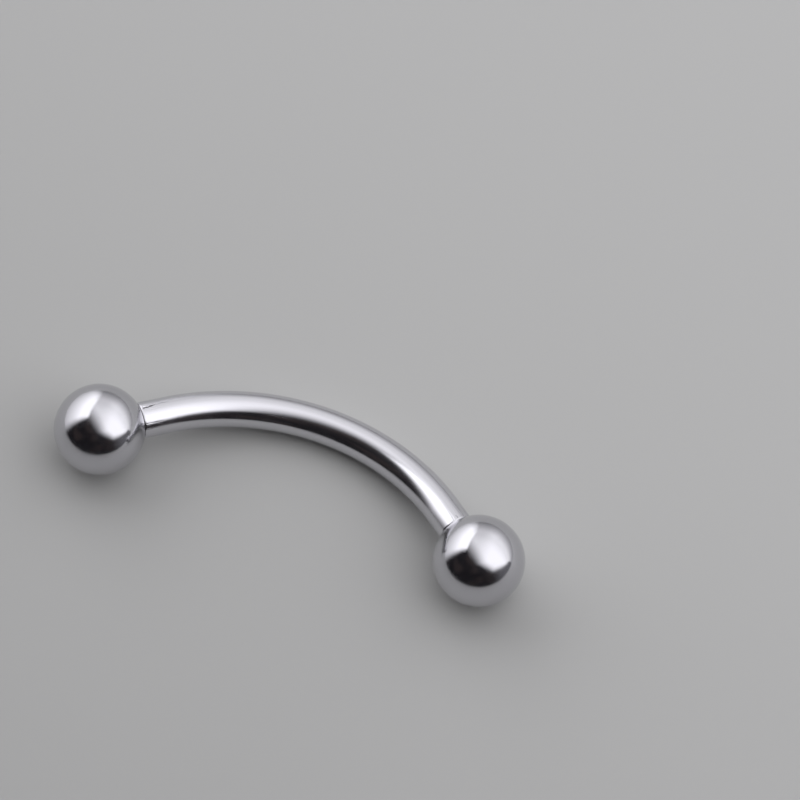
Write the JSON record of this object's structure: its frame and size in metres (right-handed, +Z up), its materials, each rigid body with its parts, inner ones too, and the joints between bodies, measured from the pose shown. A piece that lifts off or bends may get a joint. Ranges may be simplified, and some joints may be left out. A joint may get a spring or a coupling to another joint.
{
  "type": "curved eyebrow barbell",
  "caption": "Curved eyebrow barbell lying on its side: a bent steel bar with a polished ball screwed into each end by a fine threaded post.",
  "frame": {"origin": "on the surface it lies on, under the middle of its outline", "axes": "+Z up; +X from the left ball's centre to the right ball's; the bend bows towards +Y"},
  "size_m": [0.0162, 0.0052, 0.003],
  "materials": {
    "polished_bar": "mirror polish with fine lengthwise hairlines, bare steel",
    "polished_ball": "mirror polish, bare steel",
    "turned_neck": "lathe-turned, bright",
    "cut_thread": "rolled thread, bright crests and darker grooves"
  },
  "bodies": {
    "bar": {"bar": "polished_bar"},
    "left_neck": {"left_neck": "turned_neck"},
    "left_ball": {"left_ball": "polished_ball", "left_post": "cut_thread"},
    "right_neck": {"right_neck": "turned_neck"},
    "right_ball": {"right_ball": "polished_ball", "right_post": "cut_thread"}
  },
  "joints": [
    {"name": "left_ball_travel", "type": "slide", "parent": "bar", "child": "left_neck", "axis": [-0.766, -0.6171, 0.1798], "range_m": [0, 0.00135]},
    {"name": "left_ball_turn", "type": "hinge", "parent": "left_neck", "child": "left_ball", "pos_m": [-0.0066, -0.00109, 0.0015], "axis": [-0.766, -0.6171, 0.1798], "range_deg": [0, 2161]},
    {"name": "right_ball_travel", "type": "slide", "parent": "bar", "child": "right_neck", "axis": [0.766, -0.6171, 0.1798], "range_m": [0, 0.00135]},
    {"name": "right_ball_turn", "type": "hinge", "parent": "right_neck", "child": "right_ball", "pos_m": [0.0066, -0.00109, 0.0015], "axis": [0.766, -0.6171, 0.1798], "range_deg": [0, 2161]}
  ],
  "couplings": [
    {"joint": "left_ball_turn", "follows": "left_ball_travel", "rad_per_m": 27925},
    {"joint": "right_ball_turn", "follows": "right_ball_travel", "rad_per_m": 27925}
  ]
}
